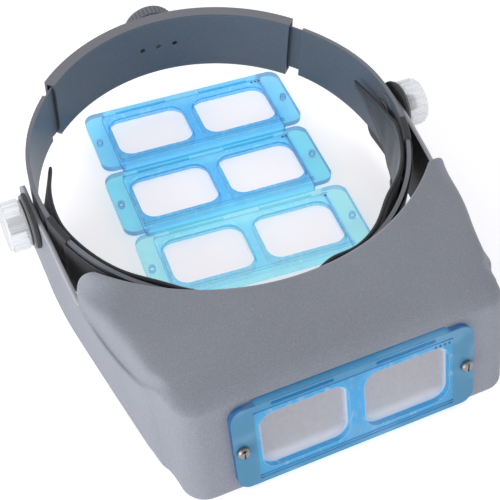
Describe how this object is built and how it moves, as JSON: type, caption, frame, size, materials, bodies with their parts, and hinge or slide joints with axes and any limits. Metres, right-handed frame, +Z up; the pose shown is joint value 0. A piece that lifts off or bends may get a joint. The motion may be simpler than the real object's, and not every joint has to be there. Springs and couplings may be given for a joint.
{
  "type": "head visor magnifier",
  "caption": "Head-worn magnifier: a tilting moulded visor with a screwed-on lens plate, on a padded band with a geared rear adjuster, and spare lens plates lying inside the band.",
  "frame": {"origin": "middle of the footprint, on the table", "axes": "-Y forward through the lens plate, +X to the wearer's left, +Z up"},
  "size_m": [0.2164, 0.2579, 0.058],
  "materials": {
    "visor_plastic": "fine pebbled outside, black inside",
    "band_plastic": "satin",
    "sleeve": "soft grain leatherette",
    "black_rubber": "matt",
    "grey_disc": "satin",
    "black_plastic": "satin",
    "clear_plastic": "clear, polished",
    "steel": "bright",
    "black_steel": "blackened",
    "brass": "turned",
    "dark_metal": "darkened, turned",
    "gear_plastic": "dark nylon, moulded",
    "plate_blue": "clear blue, polished",
    "plate_cyan": "clear pale blue, polished",
    "lens_clear": "polished"
  },
  "bodies": {
    "headband": {"front_band": "band_plastic", "sweatband": "sleeve", "pivot_stud_left": "steel", "pivot_stud_right": "steel", "arm_spacer_left": "black_plastic", "arm_spacer_right": "black_plastic"},
    "visor": {"visor_shell": "visor_plastic", "lens_screw_inserts": "brass", "friction_disc_left": "black_rubber", "friction_disc_right": "black_rubber", "thrust_disc_left": "grey_disc", "thrust_disc_right": "grey_disc", "knob_washer_left": "black_plastic", "knob_washer_right": "black_plastic"},
    "clamp_knob_left": {"clamp_knob_left": "clear_plastic", "knob_core_left": "dark_metal"},
    "clamp_knob_right": {"clamp_knob_right": "clear_plastic", "knob_core_right": "dark_metal"},
    "lens_plate": {"lens_plate_frame": "plate_blue", "lens_left": "lens_clear", "lens_right": "lens_clear"},
    "lens_screw_left": {"lens_screw_left": "steel"},
    "lens_screw_right": {"lens_screw_right": "steel"},
    "rear_housing": {"housing_inner_cover": "band_plastic", "housing_outer_cover": "band_plastic", "housing_screws": "black_steel", "click_ring": "gear_plastic"},
    "side_strap_left": {"side_strap_left": "band_plastic"},
    "side_strap_right": {"side_strap_right": "band_plastic"},
    "adjusting_knob": {"rack_pinion": "gear_plastic", "adjusting_knob": "band_plastic", "click_spring": "steel", "knob_screw": "steel"},
    "spare_plate_rear": {"spare_frame_rear": "plate_blue", "spare_lenses_rear": "lens_clear"},
    "spare_plate_middle": {"spare_frame_middle": "plate_blue", "spare_lenses_middle": "lens_clear"},
    "spare_plate_front": {"spare_frame_front": "plate_cyan", "spare_lenses_front": "lens_clear"}
  },
  "joints": [
    {"name": "visor_tilt", "type": "hinge", "parent": "headband", "child": "visor", "pos_m": [0, 0.0194, 0.038], "axis": [-1, 0, 0], "range_deg": [0, 70]},
    {"name": "clamp_knob_turn_left", "type": "hinge", "parent": "headband", "child": "clamp_knob_left", "pos_m": [-0.103, 0.0194, 0.038], "axis": [-1, 0, 0], "range_deg": [-90, 360]},
    {"name": "clamp_knob_turn_right", "type": "hinge", "parent": "headband", "child": "clamp_knob_right", "pos_m": [0.103, 0.0194, 0.038], "axis": [1, 0, 0], "range_deg": [-90, 360]},
    {"name": "lens_plate_lift_off", "type": "slide", "parent": "visor", "child": "lens_plate", "axis": [0, -0.969, 0.247], "range_m": [0, 0.03]},
    {"name": "lens_screw_turn_left", "type": "hinge", "parent": "lens_plate", "child": "lens_screw_left", "pos_m": [-0.0523, -0.12376, 0.02331], "axis": [0, -0.969, 0.247], "continuous": true},
    {"name": "lens_screw_turn_right", "type": "hinge", "parent": "lens_plate", "child": "lens_screw_right", "pos_m": [0.0523, -0.12376, 0.02331], "axis": [0, -0.969, 0.247], "continuous": true},
    {"name": "rear_housing_slide", "type": "slide", "parent": "headband", "child": "rear_housing", "axis": [0, 0.9969, 0.0785], "range_m": [-0.0053, 0.0047]},
    {"name": "side_strap_flex_left", "type": "hinge", "parent": "headband", "child": "side_strap_left", "pos_m": [-0.0902, 0.0194, 0.038], "axis": [0, -0.0785, 0.9969], "range_deg": [-3.4, 3.1]},
    {"name": "side_strap_flex_right", "type": "hinge", "parent": "headband", "child": "side_strap_right", "pos_m": [0.0902, 0.0194, 0.038], "axis": [0, -0.0785, 0.9969], "range_deg": [-3.2, 3.6]},
    {"name": "adjusting_knob_turn", "type": "hinge", "parent": "rear_housing", "child": "adjusting_knob", "pos_m": [0.00298, 0.11744, 0.0407], "axis": [0.0314, 0.9964, 0.0784], "range_deg": [-56, 63.5]},
    {"name": "spare_plate_lift_rear", "type": "slide", "parent": "headband", "child": "spare_plate_rear", "axis": [0, 0, 1], "range_m": [0, 0.012]},
    {"name": "spare_plate_lift_middle", "type": "slide", "parent": "headband", "child": "spare_plate_middle", "axis": [0, 0, 1], "range_m": [0, 0.09]},
    {"name": "spare_plate_lift_front", "type": "slide", "parent": "headband", "child": "spare_plate_front", "axis": [0, 0, 1], "range_m": [0, 0.09]}
  ],
  "couplings": [
    {"joint": "side_strap_flex_left", "follows": "rear_housing_slide", "rad_per_m": 10.748},
    {"joint": "side_strap_flex_right", "follows": "rear_housing_slide", "rad_per_m": -11.447},
    {"joint": "adjusting_knob_turn", "follows": "rear_housing_slide", "rad_per_m": -207.2}
  ]
}
